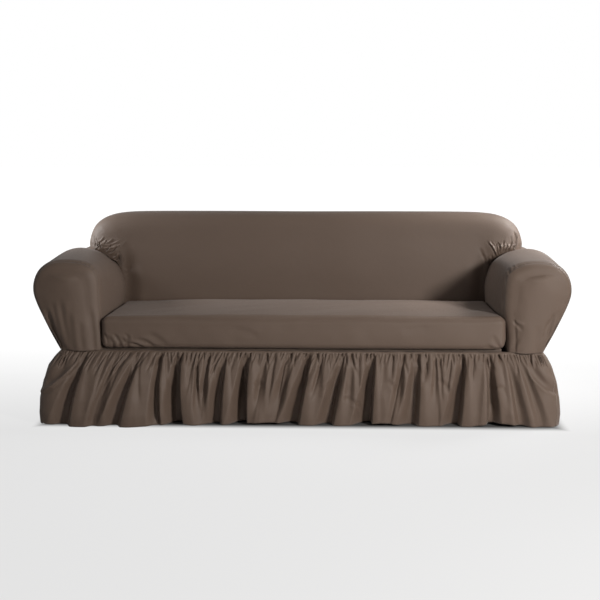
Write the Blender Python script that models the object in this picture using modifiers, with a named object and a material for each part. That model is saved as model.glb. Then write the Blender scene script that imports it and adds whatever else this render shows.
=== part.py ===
"""Two-piece slipcover for a three-seat sofa with rolled arms: a fitted cover with a gathered
skirt, and a separate cover for the one long seat cushion.

Metres, +Z up. The front faces -Y, the floor is z = 0 and x = 0 is the middle of the seat.
Every sheet is drawn as its outer face and thickened inwards."""

import bmesh
import bpy
import numpy as np
from mathutils import Vector

COLLECTION = "sofa_slipcover"

# Cloth and seams.
CLOTH = 0.002
SEAM_GAP = 0.0015
CLEAR = 0.003

# Main planes of the covered sofa, and the seam that the skirt hangs from.
FRONT = -0.430
REAR = 0.470
SEAM_Z = 0.303
FOOT_Z = SEAM_Z + SEAM_GAP

# Rounding of the arm fronts' edges and of the rear panel's edge. An arm's front panel turns
# PANEL_TURN round its edge to the seam, and the wrap takes the rest of the turn.
ARM_EDGE = 0.028
REAR_EDGE = 0.016
PANEL_TURN = np.radians(35.0)
WRAP_TURN = PANEL_TURN + SEAM_GAP / ARM_EDGE
REAR_TURN = np.radians(90.0)
REAR_SEAM_Y = REAR - REAR_EDGE - SEAM_GAP

# Rolled arm in cross-section, from beside the seat, over the roll, to the outside.
# Columns: distance from the middle, height.
ARM_SECTION = (
    (0.842, FOOT_Z),
    (0.841, 0.420),
    (0.838, 0.530),
    (0.844, 0.611),
    (0.868, 0.652),
    (0.912, 0.675),
    (0.965, 0.683),
    (1.020, 0.681),
    (1.066, 0.666),
    (1.100, 0.636),
    (1.119, 0.592),
    (1.121, 0.545),
    (1.107, 0.498),
    (1.085, 0.448),
    (1.050, 0.375),
    (1.012, FOOT_Z),
)
# The front panel's top lies between these distances from the middle. Half way along, the arm
# swells by ARM_SWELL above ARM_SWELL_FOOT. Normals are level below LEVEL_HEIGHT over the seam.
ARM_FRONT_HEAD = (0.912, 1.066)
ARM_SWELL = 0.008
ARM_SWELL_FOOT = 0.450
ARM_SWELL_RISE = 0.150
LEVEL_HEIGHT = 0.060

# Outline of the back from the front, from the middle to the foot of the right wing.
# Columns: distance from the middle, height.
BACK_OUTLINE = (
    (0.000, 0.840),
    (0.400, 0.841),
    (0.720, 0.840),
    (0.845, 0.835),
    (0.915, 0.821),
    (0.966, 0.794),
    (0.998, 0.757),
    (1.013, 0.722),
    (1.014, 0.703),
    (1.012, 0.690),
)
BACK_STRAIGHT = 0.800
BACK_BESIDE_ARM = 0.824
BACK_HALF = 1.050

# Face of the back: where it stands at the top of the seat, how it leans, and its padding.
FACE_Y = FRONT + 0.535
FACE_Z = 0.450
FACE_LEAN = 0.200
FACE_CROWN = 0.012
FACE_HEIGHT = 0.380

# Roll along the top: how far it reaches down the face and back from it, at the middle and at
# the wings, and how far the top falls to the rear.
ROLL_INSET = 0.075
WING_INSET = 0.050
ROLL_DEPTH = 0.095
TOP_DROP = 0.030
TOP_SLOPE = 1.6
WING_DROP = 0.008
WING_TUCK = 0.012

# Seat: the deck with its narrow front drop, and the long cushion.
DECK_Z = 0.316
DECK_HALF = 0.837
DECK_FRONT = FRONT + 0.004
DECK_EDGE = 0.008
CUSHION_MIDDLE = 0.004
CUSHION_HALF = 0.834
CUSHION_FRONT = FRONT - 0.004
CUSHION_REAR = FRONT + 0.531
CUSHION_FOOT = DECK_Z + 0.001
CUSHION_TOP = 0.455
CUSHION_REAR_DROP = 0.010
CUSHION_EDGE = 0.026
CUSHION_CROWN = 0.010
CUSHION_LIP = 0.085
CUSHION_STEP = 0.140

# Skirt: how far it stands out from the seam. Columns: share of the drop, share of the flare.
FLARE_SHAPE = (
    (0.00, 0.00),
    (0.08, 0.26),
    (0.19, 0.52),
    (0.41, 0.77),
    (0.64, 0.94),
    (0.85, 1.00),
    (1.00, 0.97),
)
# Flare of the front hem. Columns: x, distance out from the arm fronts.
FRONT_FLARE = (
    (-1.05, 0.095),
    (-0.85, 0.112),
    (-0.68, 0.105),
    (-0.55, 0.072),
    (-0.20, 0.056),
    (0.30, 0.050),
    (0.70, 0.052),
    (1.05, 0.062),
)
LEFT_FLARE = 0.094
RIGHT_FLARE = 0.078
REAR_FLARE = 0.072
SKIRT_HALF = 1.012
CORNER_TOP = 0.028
CORNER_HEM = 0.085
CORNER_SHARE = 0.05
CORNER_GAP = 0.0018
HEM_Z = 0.0005

# Valleys between the folds of the front strip. Columns: x at the seam, x at the hem, half
# width at the hem, depth, share of the drop where it closes again (over 1: not at all), and
# which of its sides is steep (-1 left, 1 right).
FRONT_FOLDS = (
    (-0.900, -0.980, 0.030, 0.034, 1.2, -1),
    (-0.780, -0.870, 0.022, 0.020, 1.2, -1),
    (-0.685, -0.775, 0.028, 0.034, 1.2, -1),
    (-0.595, -0.595, 0.020, 0.026, 0.8, -1),
    (-0.505, -0.520, 0.038, 0.046, 1.2, 1),
    (-0.400, -0.430, 0.020, 0.022, 1.2, -1),
    (-0.315, -0.355, 0.034, 0.040, 1.2, -1),
    (-0.235, -0.255, 0.034, 0.044, 1.2, 1),
    (-0.110, -0.137, 0.018, 0.022, 1.2, -1),
    (-0.055, -0.095, 0.020, 0.022, 0.7, -1),
    (0.020, -0.022, 0.030, 0.040, 1.2, 1),
    (0.085, 0.065, 0.016, 0.014, 0.4, -1),
    (0.175, 0.120, 0.026, 0.034, 1.2, 1),
    (0.214, 0.203, 0.016, 0.014, 0.6, -1),
    (0.313, 0.280, 0.032, 0.044, 1.2, 1),
    (0.432, 0.404, 0.018, 0.022, 0.6, -1),
    (0.475, 0.443, 0.028, 0.034, 1.2, -1),
    (0.632, 0.620, 0.018, 0.020, 0.6, -1),
    (0.682, 0.650, 0.032, 0.042, 1.2, 1),
    (0.775, 0.780, 0.026, 0.038, 1.2, -1),
    (0.855, 0.970, 0.030, 0.036, 1.2, 1),
)
# Where the front hem hangs clear of the floor. Columns: x, half width, lift.
HEM_LIFTS = (
    (-0.500, 0.040, 0.006),
    (-0.150, 0.120, 0.011),
    (0.340, 0.060, 0.012),
    (0.830, 0.090, 0.014),
)
# How a fold grows down the drop, how narrow it starts, how uneven its sides are, and over what
# share of the drop a short one closes.
GATHERED_SHARE = 0.30
GATHERED_TO = 0.15
FULL_FROM = 0.55
SEAM_WIDTH = 0.35
STEEP_SIDE = 1.35
GENTLE_SIDE = 0.85
CLOSING = 0.25
RULE_SLANT = 0.020
# The other strips fold by rule. Columns: folds, half width, depth, unevenness.
STRIP_FOLDS = {
    "right": (9, 0.026, 0.034, 0.30),
    "rear": (20, 0.028, 0.034, 0.28),
    "left": (9, 0.026, 0.034, 0.30),
}
# Direction that each strip faces, in degrees from +X, and its length along the seam.
STRIP_HEADING = {"front": 270.0, "right": 0.0, "rear": 90.0, "left": 180.0}
STRIP_LENGTH = {"right": 0.90, "rear": 2.00, "left": 0.90}

# Segments of each grid, across and then up or along it. An arm's wrap has a column for each
# point on its front panel's rim, and the inside back has two for each of the wrap's columns
# that it comes down on, so that the edges match where the pieces meet.
ARM_FRONT_GRID = (6, 7, 2)
ARM_GRID = (ARM_FRONT_GRID[0] + 2 * ARM_FRONT_GRID[1], 2, 5, 4)
ARM_UNDER_BACK = (5, 9)
BACK_MIDDLE = 8
BACK_WING = 2 + 2 * (ARM_UNDER_BACK[1] - ARM_UNDER_BACK[0])
BACK_GRID = (2 * (BACK_MIDDLE + BACK_WING), 6, 4, 3)
REAR_GRID = (16, 10, 3)
DECK_GRID = (12, 4, 2)
SKIRT_GRID = {"front": (150, 6), "right": (48, 6), "rear": (96, 5), "left": (48, 6)}

CLOTH_COLOUR = (0.130, 0.096, 0.072, 1.0)
CLOTH_ROUGHNESS = 0.88
TINY = 1e-5


def spline(points, steps=24):
    """A smooth line through the points, as a dense array of its own points."""
    p = np.asarray(points, float)
    ends = np.vstack([2 * p[0] - p[1], p, 2 * p[-1] - p[-2]])
    t = np.linspace(0.0, 1.0, steps, endpoint=False)[:, None]
    runs = []
    for before, start, end, after in zip(ends, ends[1:], ends[2:], ends[3:]):
        slope = end - before
        bend = 2 * before - 5 * start + 4 * end - after
        turn = 3 * start - before - 3 * end + after
        runs.append(start + 0.5 * (slope * t + bend * t**2 + turn * t**3))
    return np.vstack(runs + [p[-1:]])


def lengths(line):
    """Share of the line's length at each of its points."""
    step = np.linalg.norm(np.diff(line, axis=0), axis=1)
    return np.concatenate([[0.0], np.cumsum(step)]) / step.sum()


def share_at(line, distance):
    """Share of the line's length where it first gets this far from the middle."""
    return lengths(line)[np.argmax(line[:, 0] >= distance)]


def along(line, share):
    """The points at these shares of the line's length."""
    reach = lengths(line)
    return np.stack([np.interp(share, reach, line[:, k]) for k in (0, 1)], axis=-1)


def outward(line, share):
    """Unit normals on the left of the line's direction, levelled near the skirt's seam."""
    run = np.gradient(line, axis=0)
    rise = np.clip((line[:, 1] - FOOT_Z) / LEVEL_HEIGHT, 0.0, 1.0)
    left = np.stack([-run[:, 1], run[:, 0] * rise], axis=-1)
    left /= np.linalg.norm(left, axis=1)[:, None]
    reach = lengths(line)
    normal = np.stack([np.interp(share, reach, left[:, k]) for k in (0, 1)], axis=-1)
    return normal / np.linalg.norm(normal, axis=-1)[..., None]


def read(value, table):
    """Straight-line reading of a two-column table."""
    rows = np.asarray(table, float)
    return np.interp(value, rows[:, 0], rows[:, 1])


def ease(value):
    """Runs smoothly from 0 to 1 as the value does."""
    t = np.clip(value, 0.0, 1.0)
    return t * t * (3.0 - 2.0 * t)


ARM = spline(ARM_SECTION)
BACK = spline(BACK_OUTLINE)
ARM_HEAD = tuple(share_at(ARM, distance) for distance in ARM_FRONT_HEAD)
ARM_UNDER_WING = sum(ARM_HEAD) / 2
BACK_CORNER = share_at(BACK, BACK_STRAIGHT)


def face_y(x, z):
    """Front face of the back: it leans above the seat, and its padding stands out."""
    padding = np.clip(1.0 - (x / BACK_HALF) ** 2, 0.0, 1.0)
    padding = padding * np.sin(np.pi * np.clip((z - FACE_Z) / FACE_HEIGHT, 0.0, 1.0))
    return FACE_Y + FACE_LEAN * np.maximum(z - FACE_Z, 0.0) - FACE_CROWN * padding


def arm_share(column):
    """Share of the arm's section at a column of its wrap, counted from the seat."""
    head_columns, side_columns, _ = ARM_FRONT_GRID
    last = head_columns + 2 * side_columns
    table = (
        (0.0, 0.0),
        (side_columns, ARM_HEAD[0]),
        (last - side_columns, ARM_HEAD[1]),
        (last, 1.0),
    )
    return read(column, table)


def lower_edge(column):
    """Edge of the inside back at a column from its middle: level behind the seat, up beside
    the arm, then over the arm's roll to the foot of the wing."""
    first, last = ARM_UNDER_BACK
    corner = BACK_MIDDLE + 1.0
    level = ((0.0, 0.0), (BACK_MIDDLE, BACK_STRAIGHT), (corner, BACK_BESIDE_ARM))
    behind_seat = np.stack([read(column, level), np.full_like(column, FOOT_Z)], axis=-1)
    share = arm_share(first + np.maximum(column - corner - 1.0, 0.0) / 2)
    on_arm = along(ARM, share) + CLEAR * outward(ARM, share)
    beside = np.clip(column - corner, 0.0, 1.0)[..., None]
    return behind_seat + (on_arm - behind_seat) * beside


def back_ring(share, sink):
    """The back's outline, drawn in by a part of its drop towards the rear, with its normals."""
    normal = outward(BACK, share)
    normal[..., 1] = np.maximum(normal[..., 1], 0.0)
    normal /= np.linalg.norm(normal, axis=-1)[..., None]
    wing = ease((share - BACK_CORNER) / (1.0 - BACK_CORNER))
    drop = TOP_DROP + (WING_DROP - TOP_DROP) * wing
    return along(BACK, share) - (sink * drop)[..., None] * normal, normal


def inside_back(a, b):
    """Face, top roll and wings. a runs from the left wing to the right one, and b up the
    face, over the roll and along the top to the rear seam."""
    _, face_rows, roll_rows, top_rows = BACK_GRID
    row = b * (face_rows + roll_rows + top_rows)
    column = np.abs(a - 0.5) * BACK_GRID[0]
    share = read(column, ((0.0, 0.0), (BACK_MIDDLE, BACK_CORNER), (BACK_GRID[0] / 2, 1.0)))
    low = lower_edge(column)
    crest, normal = back_ring(share, np.zeros_like(share))
    wing = ease((share - BACK_CORNER) / (1.0 - BACK_CORNER))
    inset = ROLL_INSET + (WING_INSET - ROLL_INSET) * wing
    start = crest - inset[..., None] * normal
    start_y = face_y(start[..., 0], start[..., 1])
    flat = low + (start - low) * np.clip(row / face_rows, 0.0, 1.0)[..., None]
    turn = np.clip((row - face_rows) / roll_rows, 0.0, 1.0) * np.pi / 2
    rolled = start + (inset * np.sin(turn))[..., None] * normal
    back = np.clip((row - face_rows - roll_rows) / top_rows, 0.0, 1.0)
    top, _ = back_ring(share, back**TOP_SLOPE)
    on_face = row <= face_rows
    on_top = row > face_rows + roll_rows
    point = np.where(on_face[..., None], flat, np.where(on_top[..., None], top, rolled))
    roll_y = start_y + ROLL_DEPTH * (1.0 - np.cos(turn))
    roll_y = roll_y + (REAR_SEAM_Y - start_y - ROLL_DEPTH) * back
    y = np.where(on_face, face_y(flat[..., 0], flat[..., 1]), roll_y)
    return np.stack([np.sign(a - 0.5) * point[..., 0], y, point[..., 1]], axis=-1)


def arm_wrap(side, a, b):
    """Inner side, roll and outer side of an arm. a runs over the roll, and b from the seam
    round the front edge, along the arm to the back, then behind it to the rear seam."""
    _, edge_rows, arm_rows, behind_rows = ARM_GRID
    row = b * (edge_rows + arm_rows + behind_rows)
    share = arm_share(a * ARM_GRID[0])
    turn = WRAP_TURN + (np.pi / 2 - WRAP_TURN) * np.clip(row / edge_rows, 0.0, 1.0)
    point = along(ARM, share) - (ARM_EDGE * (1.0 - np.sin(turn)))[..., None] * outward(ARM, share)
    edge_y = FRONT + ARM_EDGE * (1.0 - np.cos(turn))
    tuck_y = face_y(point[..., 0], point[..., 1]) + WING_TUCK
    forward = np.clip((row - edge_rows) / arm_rows, 0.0, 1.0)
    upper = ease((point[..., 1] - ARM_SWELL_FOOT) / ARM_SWELL_RISE)
    swell = ARM_SWELL * np.sin(np.pi * forward) * upper
    point = point + swell[..., None] * outward(ARM, share)
    behind = np.clip((row - edge_rows - arm_rows) / behind_rows, 0.0, 1.0)
    y = edge_y + (tuck_y - edge_y) * forward + (REAR_SEAM_Y - tuck_y) * behind
    return np.stack([side * point[..., 0], y, point[..., 1]], axis=-1)


def panel(outline, head, edge, y_face, facing, turn, a, b, ring):
    """A flat panel inside an outline that stands on the skirt's seam, with a rounded edge.
    Ring 0 is the flat part, and rings up to 1 turn round the edge to its seam."""
    left = read(b, ((0.0, 0.0), (1.0, head[0])))
    right = read(b, ((0.0, 1.0), (1.0, head[1])))
    top = read(a, ((0.0, head[0]), (1.0, head[1])))

    def inner(share):
        return along(outline, share) - edge * outward(outline, share)

    top_left, top_right = (inner(np.array(share)) for share in head)
    across, up = a[:, None], b[:, None]
    between_sides = (1 - across) * inner(left) + across * inner(right)
    straight_top = top_left + (top_right - top_left) * across
    point = between_sides + up * (inner(top) - straight_top)
    share = np.where(b >= 1.0, top, np.where(a < 0.5, left, right))
    angle = ring * turn
    rim = along(outline, share) - (edge * (1.0 - np.sin(angle)))[:, None] * outward(outline, share)
    point = np.where(ring[:, None] > 0.0, rim, point)
    y = y_face - facing * edge * (1.0 - np.cos(angle))
    return np.stack([point[:, 0], y, point[:, 1]], axis=-1)


def rear_outline():
    """Outline of the outside back: up the left arm, over the wings, down the right arm."""
    arm = ARM[lengths(ARM) >= ARM_UNDER_WING][::-1]
    arm = arm[np.argmax(arm[:, 0] > BACK_OUTLINE[-1][0]) :]
    arm = arm[: len(arm) - np.argmax(arm[::-1, 0] > BACK_OUTLINE[-1][0])]
    shares = np.linspace(1.0, 0.0, 160)
    wing, _ = back_ring(shares, np.ones_like(shares))
    half = np.vstack([arm, wing[wing[:, 0] > 0.0]])
    return np.vstack([half * np.array([-1.0, 1.0]), half[::-1]])


def seat_deck(a, b):
    """The deck under the cushion and the narrow drop in front of it, from rear to front."""
    _, deep_rows, drop_rows = DECK_GRID
    row = b * (deep_rows + drop_rows + 1)
    x = DECK_HALF * (2 * a - 1.0)
    rear_y = face_y(x, np.full_like(x, DECK_Z)) - CLEAR
    forward = np.clip(row / deep_rows, 0.0, 1.0)
    turn = np.clip(row - deep_rows, 0.0, 1.0) * np.pi / 2
    down = np.clip((row - deep_rows - 1) / drop_rows, 0.0, 1.0)
    y = rear_y + (DECK_FRONT + DECK_EDGE - rear_y) * forward - DECK_EDGE * np.sin(turn)
    z = DECK_Z - DECK_EDGE * (1.0 - np.cos(turn)) - (DECK_Z - DECK_EDGE - FOOT_Z) * down
    return np.stack([x, y, z], axis=-1)


def fold_growth(drop):
    """Folds start shallow under the gathering and are full from half way down."""
    return GATHERED_SHARE * ease(drop / GATHERED_TO) + (1.0 - GATHERED_SHARE) * ease(drop / FULL_FROM)


def fold_width(drop):
    """Share of a fold's width at the hem that it has at this drop."""
    return SEAM_WIDTH + (1.0 - SEAM_WIDTH) * drop


def rule_folds(strip, straight, drop):
    """Depth of the folds on a strip whose folds follow a rule, uneven in place and depth."""
    count, width, depth, uneven = STRIP_FOLDS[strip]
    sunk = np.zeros_like(straight)
    for fold in range(count):
        place = (fold + 0.5 + uneven * np.sin(2.4 * fold + 1.0)) / count
        slant = RULE_SLANT * np.sin(1.3 * fold)
        half = width * (1.0 + 0.25 * np.sin(1.9 * fold)) * fold_width(drop)
        off = ((straight - place) * STRIP_LENGTH[strip] - slant * drop) / half
        strength = 0.75 + 0.25 * np.sin(1.7 * fold + 0.5)
        sunk += depth * strength * np.exp(-(off**2))
    return sunk * fold_growth(drop)


def fan(straight, drop, left, right):
    """Spreads the front strip's columns along its folds, which slant towards the corners."""
    inner = SKIRT_HALF - CORNER_TOP
    hem_left = -SKIRT_HALF - LEFT_FLARE + CORNER_HEM
    hem_right = SKIRT_HALF + RIGHT_FLARE - CORNER_HEM
    tops = [0.0] + [(fold[0] + inner) / (2 * inner) for fold in FRONT_FOLDS] + [1.0]
    hems = [0.0] + [(fold[1] - hem_left) / (hem_right - hem_left) for fold in FRONT_FOLDS] + [1.0]
    spread = straight + (np.interp(straight, tops, hems) - straight) * drop
    return left + (right - left) * spread


def front_folds(x, drop, left, right):
    """Depth of the front strip's folds."""
    inner = SKIRT_HALF - CORNER_TOP
    sunk = np.zeros_like(x)
    for top, _, width, depth, closes, steep in FRONT_FOLDS:
        middle = fan(np.full_like(x, (top + inner) / (2 * inner)), drop, left, right)
        off = (x - middle) / (width * fold_width(drop))
        off = off * np.where(off * steep > 0.0, STEEP_SIDE, GENTLE_SIDE)
        open_here = 1.0 - ease((drop - closes) / CLOSING)
        sunk += depth * open_here * np.exp(-(off**2))
    return sunk * fold_growth(drop)


def skirt(strip, a, b):
    """One strip of the skirt, from the middle of one corner to the middle of the next.
    a runs along the seam, and b from the hem up to it."""
    drop = 1.0 - b
    flare = read(drop, FLARE_SHAPE)
    radius = CORNER_TOP + (CORNER_HEM - CORNER_TOP) * flare
    left = -SKIRT_HALF - LEFT_FLARE * flare + radius
    right = SKIRT_HALF + RIGHT_FLARE * flare - radius
    rear = REAR + REAR_FLARE * flare - radius
    front_left = FRONT - FRONT_FLARE[0][1] * flare + radius
    front_right = FRONT - FRONT_FLARE[-1][1] * flare + radius
    corners = {
        "front": (left, front_left, right, front_right),
        "right": (right, front_right, right, rear),
        "rear": (right, rear, left, rear),
        "left": (left, rear, left, front_left),
    }
    x0, y0, x1, y1 = corners[strip]
    gap = CORNER_GAP * CORNER_TOP / radius
    a = gap + (1.0 - 2 * gap) * a
    straight = np.clip((a - CORNER_SHARE) / (1.0 - 2 * CORNER_SHARE), 0.0, 1.0)
    quarter = np.clip(a / CORNER_SHARE, 0.0, 1.0) - 1.0
    quarter = quarter + np.clip((a - 1.0 + CORNER_SHARE) / CORNER_SHARE, 0.0, 1.0)
    angle = np.radians(STRIP_HEADING[strip] + 45.0 * quarter)
    x = x0 + (x1 - x0) * straight
    y = y0 + (y1 - y0) * straight
    if strip == "front":
        corner_flare = FRONT_FLARE[0][1] + (FRONT_FLARE[-1][1] - FRONT_FLARE[0][1]) * straight
        x = fan(straight, drop, left, right)
        y = y - (read(x, FRONT_FLARE) - corner_flare) * flare
        sunk = front_folds(x + radius * np.cos(angle), drop, left, right)
    else:
        sunk = rule_folds(strip, straight, drop)
    reach = radius - sunk
    x = x + reach * np.cos(angle)
    y = y + reach * np.sin(angle)
    lift = np.zeros_like(x)
    if strip == "front":
        for middle, width, height in HEM_LIFTS:
            lift += height * np.exp(-(((x - middle) / width) ** 2))
    z = SEAM_Z + (HEM_Z + lift - SEAM_Z) * drop
    return np.stack([x, y, z], axis=-1)


def cloth_material(name):
    material = bpy.data.materials.new(name)
    material.use_nodes = True
    shader = material.node_tree.nodes["Principled BSDF"]
    shader.inputs["Base Color"].default_value = CLOTH_COLOUR
    shader.inputs["Roughness"].default_value = CLOTH_ROUGHNESS
    shader.inputs["Metallic"].default_value = 0.0
    return material


def coordinates(mesh):
    return np.array([vertex.co for vertex in mesh.verts])


def move(mesh, points):
    for vertex, point in zip(mesh.verts, points):
        vertex.co = point


def grid(across, up):
    """A grid whose points carry their own places in it, from 0 to 1, as x and y."""
    mesh = bmesh.new()
    bmesh.ops.create_grid(mesh, x_segments=across, y_segments=up, size=0.5)
    move(mesh, coordinates(mesh) + np.array([0.5, 0.5, 0.0]))
    return mesh


def add_sheet(collection, name, mesh, facing):
    """Makes the surface an object of its own: one closed sheet of cloth, facing outwards."""
    total = sum((face.normal * face.calc_area() for face in mesh.faces), start=Vector())
    if total.dot(Vector(facing)) < 0.0:
        bmesh.ops.reverse_faces(mesh, faces=mesh.faces[:])
    data = bpy.data.meshes.new(name)
    mesh.to_mesh(data)
    mesh.free()
    data.shade_smooth()
    data.materials.append(cloth_material(name))
    sheet = bpy.data.objects.new(name, data)
    thickness = sheet.modifiers.new("cloth", "SOLIDIFY")
    thickness.thickness = CLOTH
    thickness.offset = -1.0
    collection.objects.link(sheet)
    return sheet


def add_surface(collection, name, segments, place, facing):
    mesh = grid(*segments)
    spots = coordinates(mesh)
    move(mesh, place(spots[:, 0], spots[:, 1]))
    mesh.normal_update()
    return add_sheet(collection, name, mesh, facing)


def add_arm(collection, name, side):
    """The wrap of one arm, cut away where the back stands on its rear end."""
    across, edge_rows, arm_rows, behind_rows = ARM_GRID
    rows = edge_rows + arm_rows + behind_rows
    mesh = grid(across, rows)
    spots = coordinates(mesh)
    beyond = spots[:, 1] * rows > edge_rows + arm_rows + 0.5
    under_back = beyond & (spots[:, 0] * across < across / 2 - 0.5)
    move(mesh, arm_wrap(side, spots[:, 0], spots[:, 1]))
    hidden = [vertex for vertex, cut in zip(mesh.verts, under_back) if cut]
    bmesh.ops.delete(mesh, geom=hidden, context="VERTS")
    mesh.normal_update()
    return add_sheet(collection, name, mesh, (0.0, 0.0, 1.0))


def add_panel(collection, name, segments, outline, head, edge, y_face, facing, turn):
    """A flat panel whose rim is drawn out from its grid's sides and top, ring by ring."""
    across, up, rings = segments
    mesh = grid(across, up)
    border = [line for line in mesh.edges if line.is_boundary]
    rim = [line for line in border if max(end.co.y for end in line.verts) > TINY]
    for ring in range(1, rings + 1):
        made = bmesh.ops.extrude_edge_only(mesh, edges=rim)["geom"]
        for vertex in (part for part in made if isinstance(part, bmesh.types.BMVert)):
            vertex.co.z = ring / rings
        drawn = [part for part in made if isinstance(part, bmesh.types.BMEdge)]
        rim = [line for line in drawn if min(end.co.z for end in line.verts) > (ring - 0.5) / rings]
    a, b, ring = coordinates(mesh).T
    move(mesh, panel(outline, head, edge, y_face, facing, turn, a, b, ring))
    bmesh.ops.recalc_face_normals(mesh, faces=mesh.faces[:])
    mesh.normal_update()
    return add_sheet(collection, name, mesh, (0.0, facing, 0.0))


def add_arm_front(collection, name, side):
    outline = ARM if side > 0 else ARM[::-1] * np.array([-1.0, 1.0])
    head = ARM_HEAD if side > 0 else (1.0 - ARM_HEAD[1], 1.0 - ARM_HEAD[0])
    return add_panel(
        collection, name, ARM_FRONT_GRID, outline, head, ARM_EDGE, FRONT, -1.0, PANEL_TURN
    )


def add_outside_back(collection, name):
    outline = rear_outline()
    head = share_at(outline, -BACK_STRAIGHT)
    return add_panel(
        collection, name, REAR_GRID, outline, (head, 1.0 - head), REAR_EDGE, REAR, 1.0, REAR_TURN
    )


def cut_places(half, lip):
    """Where the cushion's box is cut across: at its rounded edges, its lip and evenly between."""
    tight = half - CUSHION_EDGE
    places = [0.0, tight, tight + CUSHION_EDGE * np.tan(np.pi / 8), half - lip]
    steps = int((half - lip) / CUSHION_STEP)
    places += [(half - lip) * step / (steps + 1) for step in range(1, steps + 1)]
    return sorted({round(sign * place, 6) for place in places for sign in (-1, 1)})


def add_cushion_cover(collection, name):
    """A rounded box of cloth, open underneath inside its turned-under lip."""
    lowest = np.array([CUSHION_MIDDLE - CUSHION_HALF, CUSHION_FRONT, CUSHION_FOOT])
    highest = np.array([CUSHION_MIDDLE + CUSHION_HALF, CUSHION_REAR, CUSHION_TOP])
    half = (highest - lowest) / 2
    mesh = bmesh.new()
    bmesh.ops.create_cube(mesh, size=2.0)
    move(mesh, coordinates(mesh) * half)
    tight = half[2] - CUSHION_EDGE
    cuts = (cut_places(half[0], CUSHION_LIP), cut_places(half[1], CUSHION_LIP), (-tight, 0.0, tight))
    for axis, places in enumerate(cuts):
        for place in places:
            spot = [place if k == axis else 0.0 for k in range(3)]
            direction = [1.0 if k == axis else 0.0 for k in range(3)]
            parts = mesh.verts[:] + mesh.edges[:] + mesh.faces[:]
            bmesh.ops.bisect_plane(mesh, geom=parts, plane_co=spot, plane_no=direction)
    opening = half[:2] - CUSHION_LIP
    inside = []
    for face in mesh.faces:
        x, y, z = face.calc_center_median()
        if z < TINY - half[2] and abs(x) < opening[0] and abs(y) < opening[1]:
            inside.append(face)
    bmesh.ops.delete(mesh, geom=inside, context="FACES")
    move(mesh, cushion_form(coordinates(mesh), half) + (highest + lowest) / 2)
    mesh.normal_update()
    return add_sheet(collection, name, mesh, (0.0, 0.0, 1.0))


def cushion_form(point, half):
    """Rounds the box's edges, crowns its top and lets its rear edge sink."""
    core = np.clip(point, CUSHION_EDGE - half, half - CUSHION_EDGE)
    off = point - core
    point = core + CUSHION_EDGE * off / np.linalg.norm(off, axis=1)[:, None]
    x, y, z = (point / half).T
    height = np.clip((z + 1.0) / 2, 0.0, 1.0)
    crown = np.clip(1.0 - x**2, 0.0, 1.0) * np.clip(1.0 - y**2, 0.0, 1.0) ** 0.7
    point[:, 2] += height * (CUSHION_CROWN * crown - CUSHION_REAR_DROP * (y + 1.0) / 2)
    return point


def main():
    for thing in list(bpy.data.objects):
        bpy.data.objects.remove(thing, do_unlink=True)
    cover = bpy.data.collections.new(COLLECTION)
    bpy.context.scene.collection.children.link(cover)
    rows = sum(BACK_GRID[1:])
    add_surface(cover, "inside_back", (BACK_GRID[0], rows), inside_back, (0.0, -1.0, 0.5))
    add_outside_back(cover, "outside_back")
    for name, side in (("left", -1), ("right", 1)):
        add_arm(cover, f"arm_{name}", side)
        add_arm_front(cover, f"arm_front_{name}", side)
    deck_rows = sum(DECK_GRID[1:]) + 1
    add_surface(cover, "seat_deck", (DECK_GRID[0], deck_rows), seat_deck, (0.0, -1.0, 1.0))
    add_cushion_cover(cover, "cushion_cover")
    for strip, heading in STRIP_HEADING.items():
        facing = (np.cos(np.radians(heading)), np.sin(np.radians(heading)), 0.0)

        def place(a, b, strip=strip):
            return skirt(strip, a, b)

        add_surface(cover, f"skirt_{strip}", SKIRT_GRID[strip], place, facing)


main()
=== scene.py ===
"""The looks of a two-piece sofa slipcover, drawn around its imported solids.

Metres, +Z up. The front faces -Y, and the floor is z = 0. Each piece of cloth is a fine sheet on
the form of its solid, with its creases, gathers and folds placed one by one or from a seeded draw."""

import bmesh
import bpy
import numpy as np
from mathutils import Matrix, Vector


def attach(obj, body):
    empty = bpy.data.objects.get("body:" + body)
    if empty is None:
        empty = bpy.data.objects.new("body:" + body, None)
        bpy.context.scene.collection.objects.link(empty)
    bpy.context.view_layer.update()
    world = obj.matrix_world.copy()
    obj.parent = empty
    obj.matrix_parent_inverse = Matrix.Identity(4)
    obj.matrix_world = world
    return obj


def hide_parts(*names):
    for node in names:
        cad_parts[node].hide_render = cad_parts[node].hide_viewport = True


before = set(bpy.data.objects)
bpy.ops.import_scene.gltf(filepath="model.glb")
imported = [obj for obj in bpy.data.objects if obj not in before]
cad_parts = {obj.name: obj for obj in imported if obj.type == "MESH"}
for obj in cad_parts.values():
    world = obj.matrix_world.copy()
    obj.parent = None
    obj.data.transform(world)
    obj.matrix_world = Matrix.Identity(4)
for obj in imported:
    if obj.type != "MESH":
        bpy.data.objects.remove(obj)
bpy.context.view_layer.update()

# How thick the drawn cloth is, how far its hidden edges turn in, and the seed of the small gathers.
CLOTH = 0.0016
TUCK = 0.006
SEED = 7

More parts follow.
